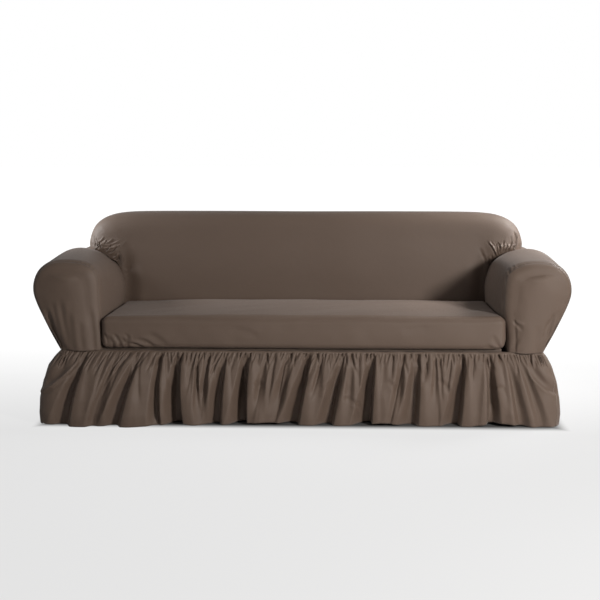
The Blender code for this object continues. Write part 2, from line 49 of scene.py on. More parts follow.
# The form of the cover, in the part's own sizes.
SEAM_GAP = 0.0015
CLEAR = 0.003
FRONT = -0.430
REAR = 0.470
SEAM_Z = 0.303
FOOT_Z = SEAM_Z + SEAM_GAP
REAR_EDGE = 0.016
REAR_TURN = np.radians(80.0)
REAR_DOME = 0.004
PANEL_TURN = np.radians(60.0)
PANEL_DOME = 0.016
REAR_SEAM_Y = REAR - REAR_EDGE
REAR_OVERLAP = 0.004
ARM_SECTION = (
    (0.842, FOOT_Z),
    (0.841, 0.420),
    (0.838, 0.530),
    (0.844, 0.611),
    (0.868, 0.652),
    (0.912, 0.675),
    (0.965, 0.683),
    (1.020, 0.681),
    (1.066, 0.666),
    (1.100, 0.636),
    (1.119, 0.592),
    (1.121, 0.545),
    (1.107, 0.498),
    (1.085, 0.448),
    (1.050, 0.375),
    (1.012, FOOT_Z),
)
ARM_FRONT_HEAD = (0.912, 1.066)
ARM_SWELL = 0.008
ARM_SWELL_FOOT = 0.450
ARM_SWELL_RISE = 0.150
LEVEL_HEIGHT = 0.060
BACK_OUTLINE = (
    (0.000, 0.840),
    (0.400, 0.841),
    (0.720, 0.840),
    (0.845, 0.835),
    (0.915, 0.821),
    (0.966, 0.794),
    (0.998, 0.757),
    (1.014, 0.720),
    (1.013, 0.698),
    (1.001, 0.678),
)
BACK_STRAIGHT = 0.800
BACK_BESIDE_ARM = 0.830
BACK_HALF = 1.050
FACE_Y = FRONT + 0.535
FACE_Z = 0.450
FACE_LEAN = 0.200
FACE_CROWN = 0.012
FACE_HEIGHT = 0.380
# How far in from the outline the back's roll begins: columns of the grid column and inset.
ROLL_INSET = (
    (0.0, 0.080),
    (8.0, 0.086),
    (10.0, 0.100),
    (12.5, 0.116),
    (14.5, 0.104),
    (16.5, 0.066),
    (18.0, 0.044),
)
ROLL_DEPTH = 0.095
TOP_DROP = 0.030
TOP_SLOPE = 1.6
WING_DROP = 0.008
WING_TUCK = 0.012
DECK_Z = 0.316
DECK_HALF = 0.839
DECK_FRONT = FRONT + 0.020
DECK_EDGE = 0.008
CUSHION_LOW = np.array([-0.830, FRONT - 0.004, DECK_Z + 0.001])
CUSHION_HIGH = np.array([0.838, FRONT + 0.531, 0.455])
CUSHION_EDGE = 0.026
CUSHION_LIP = 0.085
FLARE_SHAPE = (
    (0.00, 0.00),
    (0.08, 0.26),
    (0.19, 0.52),
    (0.41, 0.77),
    (0.64, 0.94),
    (0.85, 1.00),
    (1.00, 0.97),
)
FRONT_FLARE = (
    (-1.05, 0.095),
    (-0.85, 0.112),
    (-0.68, 0.105),
    (-0.55, 0.072),
    (-0.20, 0.056),
    (0.30, 0.050),
    (0.70, 0.052),
    (1.05, 0.062),
)
LEFT_FLARE = 0.094
RIGHT_FLARE = 0.078
REAR_FLARE = 0.072
SKIRT_HALF = 1.012
CORNER_TOP = 0.028
CORNER_HEM = 0.085
CORNER_SHARE = 0.05
HEM_Z = 0.0014
# Columns: x at the seam, x at the hem, half width at the hem, depth, share of the drop where
# it closes again, and its steep side (-1 left, 1 right).
FRONT_FOLDS = (
    (-0.882, -0.975, 0.046, 0.034, 1.2, 1),
    (-0.760, -0.868, 0.030, 0.017, 0.9, -1),
    (-0.655, -0.765, 0.044, 0.034, 1.2, 1),
    (-0.578, -0.590, 0.028, 0.032, 0.80, 1),
    (-0.496, -0.495, 0.050, 0.054, 1.2, 1),
    (-0.425, -0.432, 0.016, 0.018, 0.5, -1),
    (-0.377, -0.398, 0.026, 0.014, 0.8, 1),
    (-0.304, -0.340, 0.042, 0.042, 1.2, 1),
    (-0.212, -0.228, 0.046, 0.050, 1.2, 1),
    (-0.133, -0.172, 0.032, 0.015, 0.45, 1),
    (-0.035, -0.098, 0.040, 0.019, 0.60, 1),
    (0.048, -0.016, 0.044, 0.044, 1.2, 1),
    (0.098, 0.065, 0.028, 0.011, 0.30, 1),
    (0.185, 0.126, 0.040, 0.038, 1.1, 1),
    (0.222, 0.205, 0.028, 0.010, 0.5, 1),
    (0.310, 0.292, 0.048, 0.052, 1.2, 1),
    (0.430, 0.405, 0.032, 0.017, 0.45, 1),
    (0.492, 0.476, 0.044, 0.034, 1.2, 1),
    (0.562, 0.560, 0.022, 0.013, 0.35, 1),
    (0.680, 0.660, 0.044, 0.046, 1.2, 1),
    (0.770, 0.786, 0.030, 0.034, 1.2, -1),
    (0.845, 0.910, 0.028, 0.018, 1.0, -1),
    (0.892, 0.995, 0.030, 0.014, 1.2, -1),
)
# Where the hem stands off the floor: columns of x, half width and height.
HEM_LIFTS = (
    (-1.110, 0.070, 0.009),
    (-0.500, 0.040, 0.006),
    (-0.150, 0.120, 0.011),
    (0.340, 0.060, 0.012),
    (0.830, 0.090, 0.014),
)
# The other strips: how many valleys, their half width and depth, and how unevenly they stand.
STRIP_FOLDS = {
    "right": (9, 0.026, 0.034, 0.30),
    "rear": (20, 0.028, 0.034, 0.28),
    "left": (9, 0.026, 0.034, 0.30),
}
STRIP_HEADING = {"front": 270.0, "right": 0.0, "rear": 90.0, "left": 180.0}
STRIP_LENGTH = {"front": 2.16, "right": 0.90, "rear": 2.00, "left": 0.90}

# How the drawn cloth goes on from the plain form of the solids. The edge of the arm fronts is
# rounder over the inner side and the head: columns of share of the outline and radius.
EDGE_ROUND = (
    (0.00, 0.026),
    (0.10, 0.040),
    (0.25, 0.058),
    (0.40, 0.062),
    (0.55, 0.046),
    (0.72, 0.032),
    (1.00, 0.024),
)
ARM_TUCK = 0.0015
ROLL_END_TUCK = 0.004
SHOULDER_AT = 0.370
SHOULDER_DROP = {-1: 0.046, 1: 0.027}
INNER_AT = 0.20
INNER_SWELL = 0.010
HEAD_AT = 0.52
HEAD_RISE = 0.008
HEAD_DROP = 0.014
HEAD_DROP_BEHIND = 0.006
# The cushion presses the right arm front aside and bulges there (columns of z and bulge); the
# left arm front bulges towards it.
FRONT_PRESSED = {-1: -0.009, 1: 0.018}
CUSHION_BULGE = ((0.312, 0.000), (0.330, 0.010), (0.360, 0.017), (0.430, 0.014), (0.462, 0.006))
CUSHION_BULGE_LEFT = 0.003
CUSHION_SAG = 0.003
CUSHION_SLOPE = 0.008
JOINT_SINK = 0.022
WING_PUFF = 0.012

# Rows of the fine grids: the back's face, roll and top; an arm wrap's turned edge, length and rear
# end; a panel's rings and turned edge.
BACK_ROWS = (73, 29, 14)
WRAP_ROWS = (14, 83, 29)
PANEL_RINGS = 30
PANEL_TURNS = 8
PANEL_SEAM_ROW = PANEL_RINGS + PANEL_TURNS - 1
# From this row on, the deck's turned edge and drop are darkened as painted shade under the cushion.
DECK_SHADE_ROW = 27
SKIRT_TUCKED = 0.030

# Columns and rows of the skirt's strips, and how many gathers and short folds are drawn on each.
SKIRT_FINE = {"front": (1040, 44), "right": (340, 34), "rear": (640, 34), "left": (340, 34)}
GATHERS = {"front": 230, "right": 80, "rear": 180, "left": 80}
HALF_FOLDS = {"front": 64, "right": 22, "rear": 50, "left": 22}

# Creases. Columns: start (two), end (two), bow, half width, depth (over 0: a ridge).
# On the back, the arm fronts, the cushion's front and the skirt they lie in x and z.
BACK_CREASES = (
    (0.836, 0.716, 0.878, 0.650, 0.004, 0.0034, -0.0050),
    (0.846, 0.716, 0.886, 0.652, 0.004, 0.0038, 0.0040),
    (0.884, 0.708, 0.892, 0.652, -0.002, 0.0032, -0.0030),
    (0.886, 0.712, 0.904, 0.678, 0.002, 0.0030, -0.0035),
    (0.902, 0.708, 0.898, 0.662, -0.002, 0.0036, -0.0040),
    (0.921, 0.719, 0.916, 0.666, -0.003, 0.0036, -0.0035),
    (0.940, 0.704, 0.922, 0.668, -0.003, 0.0032, -0.0045),
    (0.950, 0.740, 0.956, 0.690, 0.002, 0.0036, -0.0020),
    (0.962, 0.712, 0.938, 0.668, -0.004, 0.0034, -0.0050),
    (0.966, 0.760, 0.966, 0.682, 0.012, 0.0042, -0.0075),
    (0.806, 0.682, 0.822, 0.640, 0.002, 0.0070, -0.0025),
    (0.818, 0.658, 0.836, 0.614, 0.002, 0.0050, -0.0040),
    (0.842, 0.644, 0.856, 0.606, 0.002, 0.0040, -0.0050),
    (0.862, 0.650, 0.870, 0.622, 0.001, 0.0035, -0.0040),
    (-0.997, 0.735, -0.986, 0.688, 0.002, 0.0030, -0.0035),
    (-0.986, 0.734, -0.972, 0.684, 0.002, 0.0032, -0.0045),
    (-0.975, 0.722, -0.958, 0.678, 0.002, 0.0034, -0.0050),
    (-0.960, 0.708, -0.943, 0.672, 0.002, 0.0032, -0.0050),
    (-0.930, 0.731, -0.963, 0.700, 0.003, 0.0034, 0.0030),
    (-0.919, 0.716, -0.953, 0.686, 0.003, 0.0030, 0.0035),
    (-0.888, 0.721, -0.924, 0.698, 0.003, 0.0036, 0.0030),
    (-0.822, 0.712, -0.930, 0.674, 0.010, 0.0040, 0.0024),
    (-0.852, 0.716, -0.940, 0.690, 0.008, 0.0036, 0.0020),
    (-0.896, 0.692, -0.922, 0.666, 0.002, 0.0036, -0.0060),
    (-0.868, 0.690, -0.905, 0.655, 0.004, 0.0045, -0.0040),
    (-0.862, 0.652, -0.886, 0.630, 0.002, 0.0034, 0.0045),
    (-0.846, 0.652, -0.878, 0.620, 0.003, 0.0038, -0.0060),
    (-0.838, 0.632, -0.862, 0.606, 0.003, 0.0040, -0.0035),
    (-0.800, 0.590, -0.842, 0.570, 0.004, 0.0080, -0.0025),
)
ARM_FRONT_CREASES = {
    "left": (
        (-1.062, 0.490, -1.012, 0.315, -0.008, 0.0150, -0.0120),
        (-1.034, 0.520, -0.988, 0.312, -0.008, 0.0120, -0.0055),
        (-1.002, 0.540, -0.968, 0.312, -0.005, 0.0140, -0.0045),
        (-0.966, 0.480, -0.948, 0.312, -0.003, 0.0130, -0.0035),
        (-0.920, 0.440, -0.910, 0.312, -0.003, 0.0130, -0.0025),
        (-0.880, 0.500, -0.868, 0.312, 0.003, 0.0120, -0.0030),
    ),
    "right": (
        (0.930, 0.424, 0.884, 0.446, 0.004, 0.0060, 0.0025),
        (0.925, 0.400, 0.886, 0.440, 0.004, 0.0060, -0.0030),
        (0.905, 0.375, 0.884, 0.330, 0.003, 0.0080, -0.0020),
        (1.036, 0.450, 1.004, 0.370, -0.003, 0.0065, -0.0040),
        (1.050, 0.480, 1.026, 0.375, -0.003, 0.0080, -0.0050),
        (1.082, 0.450, 1.020, 0.330, 0.004, 0.0110, -0.0050),
        (0.985, 0.430, 0.975, 0.320, -0.003, 0.0150, -0.0025),
        (0.880, 0.486, 0.892, 0.312, 0.004, 0.0050, -0.0018),
    ),
}
CUSHION_CREASES = (
    (-0.825, 0.385, -0.802, 0.318, 0.006, 0.0050, -0.0060),
    (-0.805, 0.372, -0.778, 0.314, 0.006, 0.0055, -0.0080),
    (-0.782, 0.380, -0.748, 0.312, 0.008, 0.0055, -0.0080),
    (-0.752, 0.368, -0.722, 0.312, 0.006, 0.0050, -0.0070),
    (-0.728, 0.385, -0.716, 0.322, 0.003, 0.0050, -0.0070),
    (-0.722, 0.336, -0.650, 0.309, 0.008, 0.0060, -0.0080),
    (-0.690, 0.352, -0.610, 0.320, 0.010, 0.0080, -0.0050),
    (-0.640, 0.380, -0.560, 0.330, 0.006, 0.0120, -0.0030),
    (-0.300, 0.400, -0.180, 0.372, 0.008, 0.0140, -0.0020),
    (0.420, 0.392, 0.520, 0.412, 0.006, 0.0140, -0.0020),
    (0.800, 0.385, 0.832, 0.322, -0.005, 0.0070, -0.0045),
    (0.770, 0.345, 0.820, 0.316, -0.005, 0.0070, -0.0045),
)
SKIRT_CREASES = (
    (0.070, 0.160, 0.125, 0.180, -0.010, 0.0100, -0.0022),
    (0.160, 0.118, 0.262, 0.050, 0.022, 0.0085, -0.0036),
    (0.200, 0.088, 0.250, 0.048, 0.014, 0.0070, 0.0020),
    (-0.205, 0.172, -0.160, 0.160, 0.010, 0.0120, -0.0025),
    (0.350, 0.190, 0.400, 0.140, 0.012, 0.0090, -0.0030),
    (0.560, 0.200, 0.625, 0.120, 0.016, 0.0100, -0.0040),
    (0.800, 0.160, 0.850, 0.150, 0.012, 0.0100, -0.0030),
    (0.945, 0.272, 1.084, 0.140, -0.018, 0.0140, -0.0085),
    (0.930, 0.250, 1.082, 0.124, -0.020, 0.0060, 0.0040),
    (-0.912, 0.282, -1.082, 0.138, 0.012, 0.0065, 0.0090),
    (-0.966, 0.268, -1.056, 0.180, 0.006, 0.0200, -0.0100),
)
SMOOTH_CORNER = 0.075

# Puckers where the arm wraps are eased onto their fronts, in x and y.
WRAP_CREASES = {
    "left": (
        (-0.862, -0.414, -0.852, -0.380, 0.001, 0.0030, -0.0025),
        (-0.876, -0.418, -0.866, -0.370, 0.001, 0.0034, -0.0035),
        (-0.890, -0.416, -0.884, -0.378, 0.001, 0.0030, -0.0030),
        (-0.906, -0.414, -0.902, -0.372, 0.001, 0.0032, -0.0030),
        (-0.924, -0.412, -0.922, -0.384, 0.001, 0.0028, -0.0020),
    ),
    "right": (
        (0.858, -0.414, 0.850, -0.380, 0.001, 0.0032, -0.0030),
        (0.870, -0.418, 0.862, -0.366, 0.001, 0.0036, -0.0045),
        (0.884, -0.418, 0.880, -0.374, 0.001, 0.0032, -0.0040),
        (0.900, -0.416, 0.898, -0.380, 0.001, 0.0030, -0.0030),
        (0.930, -0.414, 0.932, -0.386, 0.001, 0.0030, -0.0020),
        (0.958, -0.412, 0.962, -0.390, 0.001, 0.0030, -0.0015),
    ),
}


def spline(points, steps=24):
    """A smooth line through these points."""
    p = np.asarray(points, float)
    ends = np.vstack([2 * p[0] - p[1], p, 2 * p[-1] - p[-2]])
    t = np.linspace(0.0, 1.0, steps, endpoint=False)[:, None]
    runs = []
    for before, start, end, after in zip(ends, ends[1:], ends[2:], ends[3:]):
        slope = end - before
        bend = 2 * before - 5 * start + 4 * end - after
        turn = 3 * start - before - 3 * end + after
        runs.append(start + 0.5 * (slope * t + bend * t**2 + turn * t**3))
    return np.vstack(runs + [p[-1:]])


def lengths(line):
    """The share of a line's length at each of its points."""
    step = np.linalg.norm(np.diff(line, axis=0), axis=1)
    return np.concatenate([[0.0], np.cumsum(step)]) / step.sum()


def share_at(line, distance):
    return lengths(line)[np.argmax(line[:, 0] >= distance)]


def along(line, share):
    reach = lengths(line)
    return np.stack([np.interp(share, reach, line[:, k]) for k in (0, 1)], axis=-1)


def outward(line, share):
    """The outward normal of a section, turned level near its foot."""
    run = np.gradient(line, axis=0)
    rise = np.clip((line[:, 1] - FOOT_Z) / LEVEL_HEIGHT, 0.0, 1.0)
    left = np.stack([-run[:, 1], run[:, 0] * rise], axis=-1)
    left /= np.linalg.norm(left, axis=1)[:, None]
    reach = lengths(line)
    normal = np.stack([np.interp(share, reach, left[:, k]) for k in (0, 1)], axis=-1)
    return normal / np.linalg.norm(normal, axis=-1)[..., None]


def read(value, table):
    rows = np.asarray(table, float)
    return np.interp(value, rows[:, 0], rows[:, 1])


def ease(value):
    t = np.clip(value, 0.0, 1.0)
    return t * t * (3.0 - 2.0 * t)


ARM = spline(ARM_SECTION)
BACK = spline(BACK_OUTLINE)
ARM_HEAD = tuple(share_at(ARM, distance) for distance in ARM_FRONT_HEAD)
ARM_UNDER_WING = sum(ARM_HEAD) / 2
ARM_BESIDE = 5.0 / 7.0 * ARM_HEAD[0]
BACK_CORNER = share_at(BACK, BACK_STRAIGHT)
ARM_AT_ROLL_END = share_at(ARM, BACK_OUTLINE[-1][0])


def creases(u, v, rows):
    """Troughs and ridges along bowed lines, each with a softer flank of the other sign."""
    total = np.zeros_like(u)
    for u0, v0, u1, v1, bow, width, depth in rows:
        du, dv = u1 - u0, v1 - v0
        reach = np.hypot(du, dv)
        t = ((u - u0) * du + (v - v0) * dv) / reach**2
        aside = ((v - v0) * du - (u - u0) * dv) / reach - 4.0 * bow * t * (1.0 - t)
        off = aside / width
        taper = ease(t / 0.30) * ease((1.15 - t) / 0.25)
        total += depth * taper * (np.exp(-(off**2)) - 0.45 * np.exp(-((off - 1.7) ** 2)))
    return total


def uneven(u, v, height, seed, longest=0.55):
    """Slow unevenness of cloth drawn over padding, from a few seeded waves."""
    rng = np.random.default_rng(seed)
    total = np.zeros_like(u)
    for k in range(7):
        wave = longest / (1.0 + 0.55 * k)
        heading = rng.uniform(0.0, np.pi)
        phase = rng.uniform(0.0, 2 * np.pi)
        run = u * np.cos(heading) + v * np.sin(heading)
        total += np.sin(2 * np.pi * run / wave + phase) / (1.0 + k)
    return height * total / 2.0


def face_y(x, z):
    """How far back the padded face of the back lies."""
    padding = np.clip(1.0 - (x / BACK_HALF) ** 2, 0.0, 1.0)
    padding = padding * np.sin(np.pi * np.clip((z - FACE_Z) / FACE_HEIGHT, 0.0, 1.0))
    return FACE_Y + FACE_LEAN * np.maximum(z - FACE_Z, 0.0) - FACE_CROWN * padding


def back_ring(share, sink):
    """The back's outline, sunk towards the rear by a share of its drop there, and its normal."""
    normal = outward(BACK, share)
    normal[..., 1] = np.maximum(normal[..., 1], 0.0)
    normal /= np.linalg.norm(normal, axis=-1)[..., None]
    wing = ease((share - BACK_CORNER) / (1.0 - BACK_CORNER))
    drop = TOP_DROP + (WING_DROP - TOP_DROP) * wing
    return along(BACK, share) - (sink * drop)[..., None] * normal, normal


def arm_shift(share, forward, shoulder, behind=0.0):
    """How far the cloth of an arm stands off its plain section, more so towards the rear."""
    sunk = shoulder * forward**1.2 * np.exp(-(((share - SHOULDER_AT) / 0.10) ** 2))
    lower = HEAD_DROP * forward**5 + HEAD_DROP_BEHIND * behind
    lower = lower - HEAD_RISE * np.exp(-(((forward - 0.60) / 0.24) ** 2))
    sunk = sunk + lower * np.exp(-(((share - HEAD_AT) / 0.12) ** 2))
    swell = INNER_SWELL * forward**0.7 * np.exp(-(((share - INNER_AT) / 0.09) ** 2))
    return swell - sunk


def lower_edge(column, shoulder):
    """The inside back's lower edge: columns 0 to 8 level, 9 beside the arm, 10 to 18 over it."""
    behind_seat = np.stack(
        [np.interp(column, (0.0, 8.0, 9.0), (0.0, BACK_STRAIGHT, BACK_BESIDE_ARM)),
         np.full_like(column, FOOT_Z)], axis=-1)
    over = np.clip((column - 10.0) / 8.0, 0.0, 1.0)
    share = ARM_BESIDE + (ARM_UNDER_WING - ARM_BESIDE) * over
    off = arm_shift(share, np.ones_like(share), shoulder) + 0.001
    on_arm = along(ARM, share) + off[..., None] * outward(ARM, share)
    beside = np.clip(column - 9.0, 0.0, 1.0)[..., None]
    return behind_seat + (on_arm - behind_seat) * beside


def soften(points, middle, spread, rounds):
    """Smooths a grid across its rows, most at one row and less with distance from it."""
    weight = np.exp(-(((np.arange(len(points)) - middle) / spread) ** 2))[:, None, None]
    eased = points.copy()
    for _ in range(rounds):
        eased[1:-1] = 0.25 * eased[:-2] + 0.5 * eased[1:-1] + 0.25 * eased[2:]
    return points + (eased - points) * weight


def inside_back_points():
    """The inside back: rows 0 to 6 are its face, 6 to 10 its roll and 10 to 13 its top."""
    face_rows, roll_rows, top_rows = BACK_ROWS
    column = np.concatenate([np.linspace(0, 8, 71)[:-1], np.linspace(8, 18, 91)])
    sides = np.concatenate([-column[:0:-1], column])
    row = np.concatenate([np.linspace(0, 6, face_rows)[:-1], np.linspace(6, 10, roll_rows)[:-1],
                          np.linspace(10, 13, top_rows)])
    side, row = np.meshgrid(sides, row)
    column = np.abs(side)
    share = read(column, ((0.0, 0.0), (8.0, BACK_CORNER), (18.0, 1.0)))
    low = lower_edge(column, np.where(side < 0.0, SHOULDER_DROP[-1], SHOULDER_DROP[1]))
    crest, normal = back_ring(share, np.zeros_like(share))
    inset = read(column, ROLL_INSET)
    start = crest - inset[..., None] * normal
    start_y = face_y(start[..., 0], start[..., 1])
    flat = low + (start - low) * np.clip(row / 6.0, 0.0, 1.0)[..., None]
    turn = np.clip((row - 6.0) / 4.0, 0.0, 1.0) * np.pi / 2
    rolled = start + (inset * np.sin(turn))[..., None] * normal
    back = np.clip((row - 10.0) / 3.0, 0.0, 1.0)
    top, _ = back_ring(share, back**TOP_SLOPE)
    on_face = row <= 6.0
    on_top = row > 10.0
    point = np.where(on_face[..., None], flat, np.where(on_top[..., None], top, rolled))
    roll_y = start_y + ROLL_DEPTH * (1.0 - np.cos(turn))
    roll_y = roll_y + (REAR_SEAM_Y + REAR_OVERLAP - start_y - ROLL_DEPTH) * back
    y = np.where(on_face, face_y(flat[..., 0], flat[..., 1]), roll_y)
    # The face sinks in where it meets the arms, and the wings puff out over them.
    over_arm = ease((column - 9.0) / 1.5) * ease((0.9 - row) / 0.9) ** 1.5
    beside = ease((point[..., 0] - 0.745) / 0.090) * ease((0.680 - point[..., 1]) / 0.140)
    y = y + JOINT_SINK * np.maximum(over_arm, beside * on_face)
    puffed = ease((column - 8.0) / 4.0) * ease((18.0 - column) / 2.0)
    y = y - WING_PUFF * puffed * np.exp(-(((row - 3.2) / 2.2) ** 2))
    points = np.stack([np.sign(side) * point[..., 0], y, point[..., 1]], axis=-1)
    # The ends of the roll come down with the arms under them.
    for way in (-1, 1):
        sunk = arm_shift(np.array([ARM_AT_ROLL_END]), np.ones(1), SHOULDER_DROP[way], 1.0)[0]
        ends = ease((column - 14.5) / 3.5) * ease((row - 4.0) / 4.0) * (np.sign(side) == way)
        points[..., 2] += (sunk - ROLL_END_TUCK) * ends
    return soften(points, face_rows - 1, 13, 60)


def arm_points(side):
    """The wrap: rows run from its tucked front seam, round the edge and along to the rear."""
    edge_rows, length_rows, rear_rows = WRAP_ROWS
    rows = sum(WRAP_ROWS)
    turn = np.full(rows, np.pi / 2)
    turn[:2] = PANEL_TURN
    turn[2:edge_rows] = np.linspace(PANEL_TURN, np.pi / 2, edge_rows - 2)
    tuck = np.zeros(rows)
    tuck[:2] = 1.0, 0.4
    forward = np.ones(rows)
    forward[:edge_rows] = 0.0
    forward[edge_rows:-rear_rows] = np.linspace(0.0, 1.0, length_rows + 1)[1:]
    behind = np.zeros(rows)
    behind[-rear_rows:] = np.linspace(0.0, 1.0, rear_rows + 1)[1:]
    share, _ = np.meshgrid(np.linspace(0.0, 1.0, 150), forward)
    turn, tuck, forward, behind = (v[:, None] for v in (turn, tuck, forward, behind))
    normal = outward(ARM, share)
    edge = read(share, EDGE_ROUND)
    point = along(ARM, share) - (edge * (1.0 - np.sin(turn)) + ARM_TUCK * tuck)[..., None] * normal
    edge_y = FRONT + edge * (1.0 - np.cos(turn))
    tuck_y = face_y(point[..., 0], point[..., 1]) + WING_TUCK + JOINT_SINK
    upper = ease((point[..., 1] - ARM_SWELL_FOOT) / ARM_SWELL_RISE)
    off = ARM_SWELL * np.sin(np.pi * forward) * upper
    off = off + arm_shift(share, forward, SHOULDER_DROP[side], behind)
    point = point + off[..., None] * normal
    y = edge_y + (tuck_y - edge_y) * forward + (REAR_SEAM_Y + REAR_OVERLAP - tuck_y) * behind
    point[..., 0] += pressed(point[..., 1], y, side) * ease((0.35 - share) / 0.10)
    # Behind the tucked seam only the part outside the wing goes on.
    in_front = np.arange(rows)[:, None] < edge_rows + length_rows + 3
    keep = in_front | (share > ARM_UNDER_WING - 0.02)
    return np.stack([side * point[..., 0], y, point[..., 1]], axis=-1), keep


def pressed(z, y, side):
    """How far the cushion presses the foot of an arm front aside."""
    return FRONT_PRESSED[side] * ease((0.490 - z) / 0.14) * ease((FRONT + 0.16 - y) / 0.14)


def panel_points(outline, spine, share, edge, y_face, facing, turn, dome, tuck=TUCK):
    """A panel in rings from its spine out to its outline, then round its edge to a tucked seam."""
    normal = outward(outline, share)
    reach = along(outline, share)
    edge = edge * np.ones_like(share)
    inner = reach - edge[:, None] * normal
    core = spine(share)
    rows, ys = [], []
    for ring in np.linspace(0.0, 1.0, PANEL_RINGS):
        rows.append(core + (inner - core) * ring)
        ys.append(y_face + facing * dome * np.full(len(share), 1.0 - ring**2.2))
    for angle in np.linspace(0.0, turn, PANEL_TURNS + 1)[1:]:
        rows.append(reach - (edge * (1.0 - np.sin(angle)))[:, None] * normal)
        ys.append(y_face - facing * edge * (1.0 - np.cos(angle)))
    for step in (0.4, 1.0):
        rows.append(rows[PANEL_SEAM_ROW] - step * tuck * normal)
        ys.append(ys[PANEL_SEAM_ROW] - facing * step * 0.002)
    rows, ys = np.array(rows), np.array(ys)
    points = np.stack([rows[..., 0], ys, rows[..., 1]], axis=-1)
    return soften(points, PANEL_RINGS - 1, 3, 12)


def arm_front_points(side):
    """The front of an arm. Its inner and outer columns pair up, so that they meet on the spine."""
    inner, outer = ARM_HEAD
    share = np.concatenate([np.linspace(0.0, inner, 76)[:-1], np.linspace(inner, outer, 45),
                            np.linspace(outer, 1.0, 76)[1:]])
    rising = np.linspace(0.0, 1.0, 76)[:-1]
    up = np.concatenate([rising, np.ones(45), np.linspace(1.0, 0.0, 76)[1:]])

    def spine(_):
        return np.stack([0.925 + 0.055 * up, FOOT_Z + (0.600 - FOOT_Z) * up], axis=-1)

    points = panel_points(ARM, spine, share, read(share, EDGE_ROUND), FRONT, -1.0, PANEL_TURN,
                          PANEL_DOME, ARM_TUCK)
    near = np.clip(1.0 - (points[..., 0] - 0.842) / 0.17, 0.0, 1.0)
    points[..., 0] += pressed(points[..., 2], points[..., 1], side) * near
    return points * np.array([side, 1.0, 1.0])


def rear_outline():
    """The rear panel's outline: up the left arm, over the back and down the right arm."""
    reach = lengths(ARM)
    shares = np.linspace(1.0, 0.0, 160)
    wing, _ = back_ring(shares, np.ones_like(shares))
    halves = []
    for side in (-1, 1):
        shift = arm_shift(reach, np.ones_like(reach), SHOULDER_DROP[side], 1.0)
        arm = ARM + shift[:, None] * outward(ARM, reach)
        arm = arm[reach >= ARM_UNDER_WING][::-1]
        arm = arm[np.argmax(arm[:, 0] > BACK_OUTLINE[-1][0]) :]
        arm = arm[: len(arm) - np.argmax(arm[::-1, 0] > BACK_OUTLINE[-1][0])]
        halves.append(np.vstack([arm, wing[wing[:, 0] > 0.0]]))
    return np.vstack([halves[0] * np.array([-1.0, 1.0]), halves[1][::-1]])


def deck_points():
    """The deck under the cushion, its front edge, its drop and the cloth tucked in under it."""
    a, row = np.meshgrid(np.linspace(-1.0, 1.0, 160), np.concatenate(
        [np.linspace(0, 4, 24), np.linspace(4, 5, 7)[1:], np.linspace(5, 7, 8)[1:], [7.5]]))
    x = DECK_HALF * a
    rear_y = face_y(x, np.full_like(x, DECK_Z)) - CLEAR
    forward = np.clip(row / 4.0, 0.0, 1.0)
    turn = np.clip(row - 4.0, 0.0, 1.0) * np.pi / 2
    down = np.clip((row - 5.0) / 2.0, 0.0, 1.0)
    tuck = np.clip((row - 7.0) / 0.5, 0.0, 1.0)
    y = rear_y + (DECK_FRONT + DECK_EDGE - rear_y) * forward
    y = y - DECK_EDGE * np.sin(turn) + TUCK * tuck
    z = DECK_Z - DECK_EDGE * (1.0 - np.cos(turn)) - (DECK_Z - DECK_EDGE - FOOT_Z) * down
    return np.stack([x, y, z], axis=-1)


def fan(straight, drop, left, right):
    """The front strip's columns in x, so that each main fold runs from its top to its hem."""
    inner = SKIRT_HALF - CORNER_TOP
    hem_left = -SKIRT_HALF - LEFT_FLARE + CORNER_HEM
    hem_right = SKIRT_HALF + RIGHT_FLARE - CORNER_HEM
    tops = [0.0] + [(fold[0] + inner) / (2 * inner) for fold in FRONT_FOLDS] + [1.0]
    hems = [0.0] + [(fold[1] - hem_left) / (hem_right - hem_left) for fold in FRONT_FOLDS] + [1.0]
    spread = straight + (np.interp(straight, tops, hems) - straight) * drop
    return left + (right - left) * spread


def main_folds(strip, x, straight, drop, left, right):
    """Depth of the main valleys, and how far their steep sides lean over them."""
    sunk, lean = np.zeros_like(x), np.zeros_like(x)
    grow = 0.30 * ease(drop / 0.15) + 0.70 * ease(drop / 0.55)
    if strip == "front":
        inner = SKIRT_HALF - CORNER_TOP
        for top, _, width, depth, closes, steep in FRONT_FOLDS:
            middle = fan(np.full_like(x, (top + inner) / (2 * inner)), drop, left, right)
            width = width * (0.30 + 0.70 * drop)
            off = (x - middle) / width * steep
            here = grow * (1.0 - ease((drop - closes) / 0.45))
            # A long soft flank, then a brow over a short steep one, crisper in deeper valleys.
            crisp = np.clip((depth - 0.012) / 0.040, 0.0, 1.0)
            flank = np.clip((off + 1.8) / 1.25, 0.0, 1.0)
            flank = 0.4 * flank + 0.6 * ease(flank)
            brow = 1.0 - ease((off + 0.25 - 0.25 * crisp) / (1.15 - 0.60 * crisp))
            sunk += 1.12 * depth * here * flank * brow
            sunk -= 0.20 * depth * here * np.exp(-(((off - 1.05) / 0.55) ** 2))
            lean -= steep * 0.34 * crisp * width * here * np.exp(-(((off - 0.60) / 0.40) ** 2))
        return sunk, lean
    count, width, depth, amount = STRIP_FOLDS[strip]
    for fold in range(count):
        place = (fold + 0.5 + amount * np.sin(2.4 * fold + 1.0)) / count
        half = width * (1.0 + 0.25 * np.sin(1.9 * fold)) * (0.30 + 0.70 * drop)
        off = ((straight - place) * STRIP_LENGTH[strip] - 0.020 * np.sin(1.3 * fold) * drop) / half
        steep = 1.0 if np.sin(5.1 * fold) > 0.0 else -1.0
        strength = depth * (0.75 + 0.25 * np.sin(1.7 * fold + 0.5)) * grow
        sunk += strength * np.exp(-(off**2))
        lean -= steep * 0.50 * half * grow * np.exp(-(((off * steep - 0.95) / 0.5) ** 2))
    return sunk, lean


